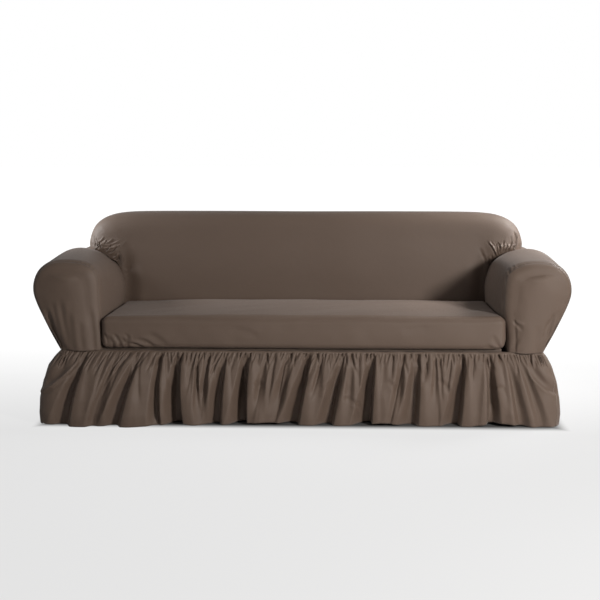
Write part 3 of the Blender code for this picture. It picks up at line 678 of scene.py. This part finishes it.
def small_folds(strip, a, drop):
    """Fine gathers under the seam, and longer soft folds between the main ones."""
    rng = np.random.default_rng(SEED + len(strip))
    length = STRIP_LENGTH[strip]
    sunk = np.zeros_like(a)
    for gather in range(GATHERS[strip]):
        place = (gather + rng.uniform(-0.4, 1.4)) / GATHERS[strip]
        width = rng.uniform(0.0018, 0.0048)
        depth, end = rng.uniform(0.0030, 0.0090), 0.05 + 0.17 * rng.uniform(0.0, 1.0) ** 2.5
        slant = rng.uniform(-0.12, 0.12)
        off = ((a - place) * length - slant * drop) / (width * (1.0 + 1.5 * drop))
        fade = ease((drop - 0.014) / 0.02) * (1.0 - ease((drop - end) / (0.05 + 0.5 * end)))
        sunk += depth * np.exp(-(off**2)) * fade
    for fold in range(HALF_FOLDS[strip]):
        place = (fold + rng.uniform(-0.2, 1.2)) / HALF_FOLDS[strip]
        width = rng.uniform(0.008, 0.018)
        depth, end = rng.uniform(0.003, 0.011), 0.12 + 0.90 * rng.uniform(0.0, 1.0) ** 1.6
        slant = rng.uniform(-0.05, 0.05)
        steep = 1.0 if rng.uniform(0.0, 1.0) < 0.7 else -1.0
        off = ((a - place) * length - slant * drop) / (width * (0.5 + 0.9 * drop)) * steep
        side = off * np.where(off > 0.0, 1.7, 0.75)
        fade = ease((drop - 0.016) / 0.10) * (1.0 - ease((drop - end) / 0.25))
        sunk += depth * np.exp(-(side**2)) * fade
    return sunk


def skirt_points(strip):
    """A strip of the skirt from its hem up to its seam, and then tucked in behind the seam."""
    columns, rows = SKIRT_FINE[strip]
    tucked = [-SKIRT_TUCKED, -SKIRT_TUCKED / 2]
    down = np.concatenate([tucked, np.linspace(0.0, 1.0, rows) ** 1.15])
    a, drop = np.meshgrid(np.linspace(0.0, 1.0, columns), down)
    under = np.clip(-drop / SKIRT_TUCKED, 0.0, 1.0)
    drop = np.maximum(drop, 0.0)
    flare = read(drop, FLARE_SHAPE)
    radius = CORNER_TOP + (CORNER_HEM - CORNER_TOP) * flare
    left = -SKIRT_HALF - LEFT_FLARE * flare + radius
    right = SKIRT_HALF + RIGHT_FLARE * flare - radius
    rear = REAR + REAR_FLARE * flare - radius
    front_left = FRONT - FRONT_FLARE[0][1] * flare + radius
    front_right = FRONT - FRONT_FLARE[-1][1] * flare + radius
    x0, y0, x1, y1 = {
        "front": (left, front_left, right, front_right),
        "right": (right, front_right, right, rear),
        "rear": (right, rear, left, rear),
        "left": (left, rear, left, front_left),
    }[strip]
    straight = np.clip((a - CORNER_SHARE) / (1.0 - 2 * CORNER_SHARE), 0.0, 1.0)
    quarter = np.clip(a / CORNER_SHARE, 0.0, 1.0) - 1.0
    quarter = quarter + np.clip((a - 1.0 + CORNER_SHARE) / CORNER_SHARE, 0.0, 1.0)
    angle = np.radians(STRIP_HEADING[strip] + 45.0 * quarter)
    x = x0 + (x1 - x0) * straight
    y = y0 + (y1 - y0) * straight
    if strip == "front":
        corner_flare = FRONT_FLARE[0][1] + (FRONT_FLARE[-1][1] - FRONT_FLARE[0][1]) * straight
        x = fan(straight, drop, left, right)
        y = y - (read(x, FRONT_FLARE) - corner_flare) * flare
    sunk, lean = main_folds(strip, x + radius * np.cos(angle), straight, drop, left, right)
    bare = SMOOTH_CORNER if strip == "front" else 0.0
    ends = ease((a - bare) / 0.03) * ease((1.0 - bare - a) / 0.03)
    near_seam = ease(a / 0.02) * ease((1.0 - a) / 0.02) * (1.0 - ease((drop - 0.10) / 0.12))
    sunk = sunk + small_folds(strip, a, drop) * np.maximum(ends, near_seam) + TUCK * under
    reach = radius - sunk
    x = x + reach * np.cos(angle) - lean * np.sin(angle)
    y = y + reach * np.sin(angle) + lean * np.cos(angle)
    lift = np.zeros_like(x)
    if strip == "front":
        for middle, width, height in HEM_LIFTS:
            lift += height * np.exp(-(((x - middle) / width) ** 2))
    z = SEAM_Z + (HEM_Z + lift - SEAM_Z) * drop + 0.004 * under
    return np.stack([x, y, z], axis=-1)[::-1]


def cushion_points():
    """The cushion cover in rings from the spine of its top, over the edge, to its lip."""
    half = (CUSHION_HIGH - CUSHION_LOW) / 2

    def side_places(reach, count):
        tight = reach - CUSHION_EDGE
        corner = reach - CUSHION_EDGE * (1.0 - np.tan(np.linspace(0.0, np.pi / 4, 6)))
        return np.concatenate([-corner[::-1], np.linspace(-tight, tight, count)[1:-1], corner])

    across, deep = side_places(half[0], 190), side_places(half[1], 64)
    loop = np.vstack([
        np.stack([across, np.full_like(across, -half[1])], 1)[:-1],
        np.stack([np.full_like(deep, half[0]), deep], 1)[:-1],
        np.stack([across[::-1], np.full_like(across, half[1])], 1)[:-1],
        np.stack([np.full_like(deep, -half[0]), deep[::-1]], 1)[:-1],
    ])
    loop = np.vstack([loop, loop[:1]])
    spine_x = np.clip(loop[:, 0], -half[0] + half[1], half[0] - half[1])
    spine = np.stack([spine_x, np.zeros(len(loop))], 1)
    inner = spine + (loop - spine) * (1.0 - CUSHION_EDGE / half[1])
    bend = CUSHION_EDGE * (1.0 - np.tan(np.linspace(np.pi / 4, 0.0, 5)))[1:]
    rings = [np.column_stack([spine + (inner - spine) * r, np.full(len(loop), half[2])])
             for r in np.linspace(0.0, 1.0, 30)]
    for r in np.tan(np.linspace(0.0, np.pi / 4, 6))[1:]:
        rings.append(np.column_stack([inner + (loop - inner) * r, np.full(len(loop), half[2])]))
    tight = half[2] - CUSHION_EDGE
    heights = list(half[2] - bend) + list(np.linspace(tight, -tight, 16)[1:-1])
    heights += [-tight - CUSHION_EDGE * np.tan(v) for v in np.linspace(0.0, np.pi / 4, 6)]
    for z in heights:
        rings.append(np.column_stack([loop, np.full(len(loop), z)]))
    for r in np.linspace(1.0, 0.0, 6)[1:]:
        rings.append(np.column_stack([inner + (loop - inner) * r, np.full(len(loop), -half[2])]))
    lip = 1.0 - (CUSHION_LIP - CUSHION_EDGE) / (half[1] - CUSHION_EDGE)
    for r in np.linspace(1.0, lip, 6)[1:]:
        rings.append(np.column_stack([spine + (inner - spine) * r, np.full(len(loop), -half[2])]))
    point = np.array(rings)
    core = np.clip(point, CUSHION_EDGE - half, half - CUSHION_EDGE)
    off = point - core
    reach = np.linalg.norm(off, axis=-1)[..., None]
    point = core + CUSHION_EDGE * off / np.maximum(reach, 1e-9)
    x, y, z = np.moveaxis(point / half, -1, 0)
    height = np.clip((z + 1.0) / 2, 0.0, 1.0)
    crown = np.clip(1.0 - x**2, 0.0, 1.0) * np.clip(1.0 - y**2, 0.0, 1.0) ** 0.7
    point[..., 2] += height * (0.010 * crown - 0.010 * (y + 1.0) / 2)
    point += (CUSHION_HIGH + CUSHION_LOW) / 2
    # Its front sags at the foot and swells forward, and its ends give way to the arm fronts.
    x, y, z = np.moveaxis(point, -1, 0)
    low = ease((0.42 - z) / 0.10) * ease((FRONT + 0.07 - y) / 0.07)
    sag = 0.85 + 0.15 * ease((-x - 0.50) / 0.20) + 0.12 * np.sin(11.0 * x) * np.sin(4.0 * x + 1.0)
    middle = np.sin(np.pi * np.clip((z - 0.310) / 0.150, 0.0, 1.0))
    beside = ease((FRONT + 0.16 - y) / 0.14)
    bulge = read(z, CUSHION_BULGE) * ease((x - 0.72) / 0.12) * beside
    bulge = bulge - CUSHION_BULGE_LEFT * ease((-x - 0.72) / 0.10) * beside
    forward = 0.010 * middle * ease((FRONT + 0.03 - y) / 0.03) * (1.0 - (x / 0.90) ** 4)
    point[..., 0] += bulge
    point[..., 1] -= forward + 0.004 * low
    slope = CUSHION_SLOPE * ease((-x - 0.40) / 0.45) * ease((z - 0.38) / 0.05)
    point[..., 2] -= CUSHION_SAG * sag * low + slope
    return point


def add_node(tree, kind, **values):
    """A new node with these values on its inputs, by name, or else on itself."""
    made = tree.nodes.new(kind)
    for key, value in values.items():
        if key in made.inputs:
            made.inputs[key].default_value = value
        else:
            setattr(made, key, value)
    return made


def cloth_material(name, mottle_seed):
    """Cotton twill: slow mottling, uneven yarn, diagonal ribs, darker stitching along the seams,
    and painted shade on the deck's drop under the cushion.
    """
    material = bpy.data.materials.new(name)
    material.use_nodes = True
    tree = material.node_tree
    shader = tree.nodes["Principled BSDF"]
    link = tree.links.new

    def node(kind, **values):
        return add_node(tree, kind, **values)

    def textured(source, placing, kind, **values):
        """A texture on a mapping of these coordinates."""
        mapping = node("ShaderNodeMapping", **placing)
        texture = node(kind, **values)
        link(source, mapping.inputs["Vector"])
        link(mapping.outputs["Vector"], texture.inputs["Vector"])
        return texture

    place = node("ShaderNodeTexCoord").outputs["Object"]
    weave = node("ShaderNodeUVMap", uv_map="cloth").outputs["UV"]
    moved = {"Location": (mottle_seed, 0.7 * mottle_seed, 0.0)}
    slow = textured(place, moved, "ShaderNodeTexNoise", Scale=3.2, Detail=4.0, Roughness=0.55)
    cloudy = textured(place, moved, "ShaderNodeTexNoise", Scale=26.0, Detail=5.0, Roughness=0.6)
    yarn = textured(weave, {"Scale": (60.0, 900.0, 1.0)}, "ShaderNodeTexNoise", Scale=1.0,
                    Detail=2.0, Roughness=0.5)
    ribs = textured(weave, {"Rotation": (0.0, 0.0, np.radians(58.0))}, "ShaderNodeTexWave",
                    Scale=210.0, Distortion=0.6, Detail=1.0)

    tone = node("ShaderNodeMix", data_type="RGBA")
    tone.inputs["A"].default_value = (0.082, 0.055, 0.040, 1.0)
    tone.inputs["B"].default_value = (0.104, 0.071, 0.052, 1.0)
    mixed = None
    for texture, share in ((slow, 0.55), (cloudy, 0.22), (yarn, 0.22)):
        added = node("ShaderNodeMath", operation="MULTIPLY_ADD")
        added.inputs[1].default_value = share
        link(texture.outputs["Fac"], added.inputs[0])
        if mixed is None:
            added.inputs[2].default_value = 0.08
        else:
            link(mixed, added.inputs[2])
        mixed = added.outputs[0]
    link(mixed, tone.inputs["Factor"])

    worn = node("ShaderNodeNewGeometry")
    crest = node("ShaderNodeMapRange", **{"From Min": 0.50, "From Max": 0.58, "To Max": 0.30})
    link(worn.outputs["Pointiness"], crest.inputs["Value"])
    rubbed = node("ShaderNodeMix", data_type="RGBA")
    rubbed.inputs["B"].default_value = (0.140, 0.106, 0.086, 1.0)
    link(tone.outputs["Result"], rubbed.inputs["A"])
    link(crest.outputs["Result"], rubbed.inputs["Factor"])
    # Marked rows are darkened: the seams of the panels, and a painted shade under the cushion on
    # the deck's drop.
    seam = node("ShaderNodeAttribute", attribute_name="seam")
    seam_and_shade_dark = node("ShaderNodeMix", data_type="RGBA")
    seam_and_shade_dark.inputs["B"].default_value = (0.046, 0.033, 0.025, 1.0)
    part = node("ShaderNodeMath", operation="MULTIPLY")
    part.inputs[1].default_value = 0.38
    link(seam.outputs["Fac"], part.inputs[0])
    link(rubbed.outputs["Result"], seam_and_shade_dark.inputs["A"])
    link(part.outputs[0], seam_and_shade_dark.inputs["Factor"])
    link(seam_and_shade_dark.outputs["Result"], shader.inputs["Base Color"])

    rough = node("ShaderNodeMapRange", **{"To Min": 0.56, "To Max": 0.68})
    link(cloudy.outputs["Fac"], rough.inputs["Value"])
    link(rough.outputs["Result"], shader.inputs["Roughness"])
    shader.inputs["Specular IOR Level"].default_value = 0.36
    shader.inputs["Sheen Weight"].default_value = 0.06
    shader.inputs["Sheen Roughness"].default_value = 0.45
    shader.inputs["Sheen Tint"].default_value = (0.86, 0.83, 0.82, 1.0)

    below = None
    for texture, strength, height in ((ribs, 0.35, 0.0003), (yarn, 0.30, 0.0004),
                                      (cloudy, 0.22, 0.0030)):
        bump = node("ShaderNodeBump", Strength=strength, Distance=height)
        link(texture.outputs["Fac"], bump.inputs["Height"])
        if below is not None:
            link(below, bump.inputs["Normal"])
        below = bump.outputs["Normal"]
    link(below, shader.inputs["Normal"])
    return material


MATERIALS = {
    "cover_cloth": cloth_material("cover_twill", 0.0),
    "cushion_cloth": cloth_material("cushion_twill", 3.1),
    "skirt_cloth": cloth_material("skirt_twill", 7.7),
}


def grid_uv(points):
    """Lengths along the columns and rows of a grid, in metres, for the weave."""
    step_u = np.linalg.norm(np.diff(points, axis=1), axis=2).mean(axis=0)
    step_v = np.linalg.norm(np.diff(points, axis=0), axis=2).mean(axis=1)
    u = np.concatenate([[0.0], np.cumsum(step_u)])
    v = np.concatenate([[0.0], np.cumsum(step_v)])
    return np.stack(np.meshgrid(u, v), axis=-1)


def cloth(name, node, points, facing, slot, keep=None, seam=None,
          shape=None):
    """A sheet from a grid of points, shaped along its normals, that stands for a CAD node."""
    rows, columns = points.shape[:2]
    uv = grid_uv(points).reshape(-1, 2)
    number = np.arange(rows * columns).reshape(rows, columns)
    quads = np.stack([number[:-1, :-1], number[:-1, 1:], number[1:, 1:], number[1:, :-1]], axis=-1)
    if keep is not None:
        whole = keep[:-1, :-1] & keep[:-1, 1:] & keep[1:, 1:] & keep[1:, :-1]
        quads = quads[whole]
    quads = quads.reshape(-1, 4)
    mesh = bpy.data.meshes.new(name)
    mesh.from_pydata(points.reshape(-1, 3).tolist(), [], quads.tolist())
    layer = mesh.uv_layers.new(name="cloth")
    corners = np.zeros(len(mesh.loops), np.int32)
    mesh.loops.foreach_get("vertex_index", corners)
    layer.data.foreach_set("uv", uv[corners].astype(np.float32).ravel())
    # Rows marked here are darkened in the material: darker seams, and painted shade on the deck's
    # drop.
    marks = np.zeros((rows, columns)) if seam is None else seam
    marks = marks.astype(np.float32).ravel()
    mesh.attributes.new("seam", "FLOAT", "POINT").data.foreach_set("value", marks)
    work = bmesh.new()
    work.from_mesh(mesh)
    bmesh.ops.remove_doubles(work, verts=work.verts[:], dist=2e-5)
    bmesh.ops.dissolve_degenerate(work, edges=work.edges[:], dist=1e-6)
    loose = [vertex for vertex in work.verts if not vertex.link_faces]
    bmesh.ops.delete(work, geom=loose, context="VERTS")
    bmesh.ops.recalc_face_normals(work, faces=work.faces[:])
    total = sum((face.normal * face.calc_area() for face in work.faces), start=Vector())
    if total.dot(Vector(facing)) < 0.0:
        bmesh.ops.reverse_faces(work, faces=work.faces[:])
    work.normal_update()
    if shape is not None:
        place = np.array([vertex.co for vertex in work.verts])
        normal = np.array([vertex.normal for vertex in work.verts])
        moved = place + shape(place, normal)[:, None] * normal
        for vertex, spot in zip(work.verts, moved):
            vertex.co = spot
    work.normal_update()
    work.to_mesh(mesh)
    work.free()
    mesh.shade_smooth()
    mesh.materials.append(MATERIALS[slot])
    piece = bpy.data.objects.new(name, mesh)
    bpy.context.scene.collection.objects.link(piece)
    thick = piece.modifiers.new("cloth", "SOLIDIFY")
    thick.thickness = CLOTH
    thick.offset = -1.0
    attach(piece, "root")
    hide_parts(node)
    return piece


def back_shape(place, normal):
    x, y, z = place.T
    front = ease((FACE_Y + 0.10 - y) / 0.06)
    pull = creases(x, z, BACK_CREASES) * ease((0.37 - y) / 0.10)
    return pull + front * uneven(x, z, 0.0022, 11, 0.80)


def arm_shape(side):
    def shape(place, normal):
        x, y, z = place.T
        pucker = creases(x, y, WRAP_CREASES[side]) * ease((z - 0.60) / 0.04)
        behind_edge = ease((y - FRONT - 0.02) / 0.05)
        return pucker + uneven(y, z + 0.4 * np.abs(x), 0.0016, 5, 0.40) * behind_edge

    return shape


def arm_front_shape(side):
    def shape(place, normal):
        x, y, z = place.T
        return creases(x, z, ARM_FRONT_CREASES[side]) + uneven(x, z, 0.0012, 23, 0.22)

    return shape


def rear_shape(place, normal):
    x, y, z = place.T
    return uneven(x, z, 0.0030, 53, 0.70) * ease((y - REAR + 0.010) / 0.008)


def cushion_shape(place, normal):
    x, y, z = place.T
    front = np.clip(-normal[:, 1], 0.0, 1.0)
    top = np.clip(normal[:, 2], 0.0, 1.0)
    off = (z - 0.440 - 0.0020 * np.sin(9.0 * x) - 0.0012 * np.sin(23.0 * x + 1.0)) / 0.0055
    seam = -0.0030 * ease(front / 0.6) * np.exp(-(off**2))
    return seam + front * creases(x, z, CUSHION_CREASES) + top * uneven(x, y, 0.0026, 31, 0.50) + (
        front * uneven(x, z, 0.0018, 37, 0.30))


def deck_shape(place, normal):
    x, y, z = place.T
    drop = np.clip(-normal[:, 1], 0.0, 1.0)
    return drop * 0.0016 * np.sin(230.0 * x + 3.0 * np.sin(9.0 * x)) * np.sin(31.0 * x)


def skirt_shape(place, normal):
    x, y, z = place.T
    front = ease((-0.42 - y) / 0.03)
    drape = uneven(x * 2.4, z, 0.0018, 41, 0.36)
    return front * creases(x, z, SKIRT_CREASES) + drape


def rear_spine(share):
    return np.stack([-0.95 + 1.90 * share, np.full_like(share, FOOT_Z)], axis=-1)


def seam_and_shade_rows(points, first):
    """Marks the rows from this one on to be darkened: a seam on a panel, and painted shade under
    the cushion on the deck's drop.
    """
    marks = np.zeros(points.shape[:2])
    marks[first:] = 1.0
    return marks


cloth("back_inner_cloth", "inside_back", inside_back_points(), (0.0, -1.0, 0.5), "cover_cloth",
      shape=back_shape)
rear = panel_points(rear_outline(), rear_spine, np.linspace(0.0, 1.0, 320), REAR_EDGE, REAR, 1.0,
                    REAR_TURN, REAR_DOME)
cloth("back_outer_cloth", "outside_back", rear, (0.0, 1.0, 0.0), "cover_cloth",
      seam=seam_and_shade_rows(rear, PANEL_SEAM_ROW), shape=rear_shape)
for word, side in (("left", -1), ("right", 1)):
    wrap, keep = arm_points(side)
    cloth(f"arm_wrap_{word}_cloth", f"arm_{word}", wrap, (0.0, 0.0, 1.0), "cover_cloth",
          keep=keep,
          shape=arm_shape(word))
    front = arm_front_points(side)
    cloth(f"arm_front_{word}_cloth", f"arm_front_{word}", front, (0.0, -1.0, 0.0), "cover_cloth",
          seam=seam_and_shade_rows(front, PANEL_SEAM_ROW), shape=arm_front_shape(word))
# The deck's drop is darkened as painted shade under the cushion.
deck = deck_points()
cloth("seat_deck_cloth", "seat_deck", deck, (0.0, -1.0, 1.0), "cover_cloth",
      seam=seam_and_shade_rows(deck, DECK_SHADE_ROW),
      shape=deck_shape)
cloth("cushion_cover_cloth", "cushion_cover", cushion_points(), (0.0, 0.0, 1.0), "cushion_cloth",
      shape=cushion_shape)
for strip, heading in STRIP_HEADING.items():
    facing = (np.cos(np.radians(heading)), np.sin(np.radians(heading)), 0.0)
    cloth(f"skirt_{strip}_cloth", f"skirt_{strip}", skirt_points(strip), facing, "skirt_cloth",
          shape=skirt_shape)


def light(name, place, aim, size, power, colour=(1.0, 1.0, 1.0), spread=180.0):
    """A round lamp, aimed at a point, whose light spreads over so many degrees."""
    lamp = bpy.data.lights.new(name, "AREA")
    lamp.spread = np.radians(spread)
    lamp.shape = "DISK"
    lamp.size = size
    lamp.energy = power
    lamp.color = colour
    holder = bpy.data.objects.new(name, lamp)
    holder.location = place
    holder.rotation_euler = (Vector(aim) - Vector(place)).to_track_quat("-Z", "Y").to_euler()
    bpy.context.scene.collection.objects.link(holder)


light("key_light", (2.60, -3.33, 1.78), (0.0, -0.2, 0.40), 0.60, 157.0, (1.0, 0.97, 0.94))
light("side_light", (2.1, 0.45, 1.9), (0.95, 0.15, 0.65), 0.8, 9.0, spread=56.0)
light("left_light", (-2.15, 0.18, 1.32), (-1.02, 0.22, 0.76), 0.4, 2.6, (0.96, 0.98, 1.0),
      spread=44.0)

# The floor. The camera sees it glow, brighter towards the rear, with a painted shadow under the
# cover where the glow is masked off, and every other ray sees plain pale paint.
floor_mesh = bpy.data.meshes.new("studio_floor")
FLOOR_CORNERS = [(-30, -30, 0), (30, -30, 0), (30, 30, 0), (-30, 30, 0)]
floor_mesh.from_pydata(FLOOR_CORNERS, [], [(0, 1, 2, 3)])
floor = bpy.data.objects.new("studio_floor", floor_mesh)
bpy.context.scene.collection.objects.link(floor)
pale = bpy.data.materials.new("pale_floor")
pale.use_nodes = True
tree = pale.node_tree
shader = tree.nodes["Principled BSDF"]
shader.inputs["Base Color"].default_value = (0.10, 0.10, 0.10, 1.0)
shader.inputs["Roughness"].default_value = 1.0
shader.inputs["Specular IOR Level"].default_value = 0.0
shader.inputs["Emission Color"].default_value = (1.0, 1.0, 1.0, 1.0)
link = tree.links.new
spot = add_node(tree, "ShaderNodeTexCoord")
apart = add_node(tree, "ShaderNodeSeparateXYZ")
fade = add_node(tree, "ShaderNodeMapRange",
                **{"From Min": -0.6, "From Max": 1.6, "To Min": 0.72, "To Max": 1.06})
dull = add_node(tree, "ShaderNodeBsdfDiffuse", Color=(0.78, 0.78, 0.78, 1.0))
looked_at = add_node(tree, "ShaderNodeLightPath")
which = add_node(tree, "ShaderNodeMixShader")
outside = add_node(tree, "ShaderNodeMath", operation="MAXIMUM")
glow = add_node(tree, "ShaderNodeMath", operation="MULTIPLY")
link(spot.outputs["Object"], apart.inputs[0])
link(apart.outputs["Y"], fade.inputs["Value"])
# The glow is masked off over the cover's footprint and eased in at its edge: a painted shadow under
# the skirt.
for k, (axis, half, middle) in enumerate((("X", 1.085, 0.0), ("Y", 0.520, 0.010))):
    off = add_node(tree, "ShaderNodeMath", operation="SUBTRACT")
    off.inputs[1].default_value = middle
    away = add_node(tree, "ShaderNodeMath", operation="ABSOLUTE")
    painted_shadow_edge = add_node(tree, "ShaderNodeMapRange", interpolation_type="SMOOTHSTEP",
                    **{"From Min": half - 0.045, "From Max": half + 0.035})
    link(apart.outputs[axis], off.inputs[0])
    link(off.outputs[0], away.inputs[0])
    link(away.outputs[0], painted_shadow_edge.inputs["Value"])
    link(painted_shadow_edge.outputs["Result"], outside.inputs[k])
link(fade.outputs["Result"], glow.inputs[0])
link(outside.outputs[0], glow.inputs[1])
link(glow.outputs[0], shader.inputs["Emission Strength"])
link(looked_at.outputs["Is Camera Ray"], which.inputs[0])
link(dull.outputs[0], which.inputs[1])
link(shader.outputs[0], which.inputs[2])
link(which.outputs[0], tree.nodes["Material Output"].inputs["Surface"])
floor_mesh.materials.append(pale)

# The surroundings: white to the camera, dim as a light, and in between as a reflection.
world = bpy.data.worlds.new("studio")
world.use_nodes = True
bpy.context.scene.world = world
tree = world.node_tree
link = tree.links.new
sky = tree.nodes["Background"]
sky.inputs["Color"].default_value = (1.0, 1.0, 1.0, 1.0)
sky.inputs["Strength"].default_value = 0.17
seen = add_node(tree, "ShaderNodeBackground", Color=(1.0, 1.0, 1.0, 1.0))
path = add_node(tree, "ShaderNodeLightPath")
bright = add_node(tree, "ShaderNodeMath", operation="MULTIPLY_ADD")
bright.inputs[1].default_value = 0.48
either = add_node(tree, "ShaderNodeMixShader")
link(path.outputs["Is Glossy Ray"], bright.inputs[0])
link(path.outputs["Is Camera Ray"], bright.inputs[2])
link(bright.outputs[0], either.inputs[0])
link(sky.outputs[0], either.inputs[1])
link(seen.outputs[0], either.inputs[2])
link(either.outputs[0], tree.nodes["World Output"].inputs["Surface"])

# The camera, as it was fitted to the photograph.
CAMERA_PLACE = (0.1505, -5.1206, 1.2321)
CAMERA_DOWN = 8.599
CAMERA_LEFT = 1.846
camera = bpy.data.cameras.new("camera")
camera.lens = 68.69
camera.sensor_width = 36.0
camera.sensor_fit = "HORIZONTAL"
camera_object = bpy.data.objects.new("camera", camera)
camera_object.location = CAMERA_PLACE
camera_object.rotation_euler = (np.radians(90.0 - CAMERA_DOWN), 0.0, np.radians(CAMERA_LEFT))
bpy.context.scene.collection.objects.link(camera_object)
bpy.context.scene.camera = camera_object
bpy.context.scene.view_settings.view_transform = "Standard"
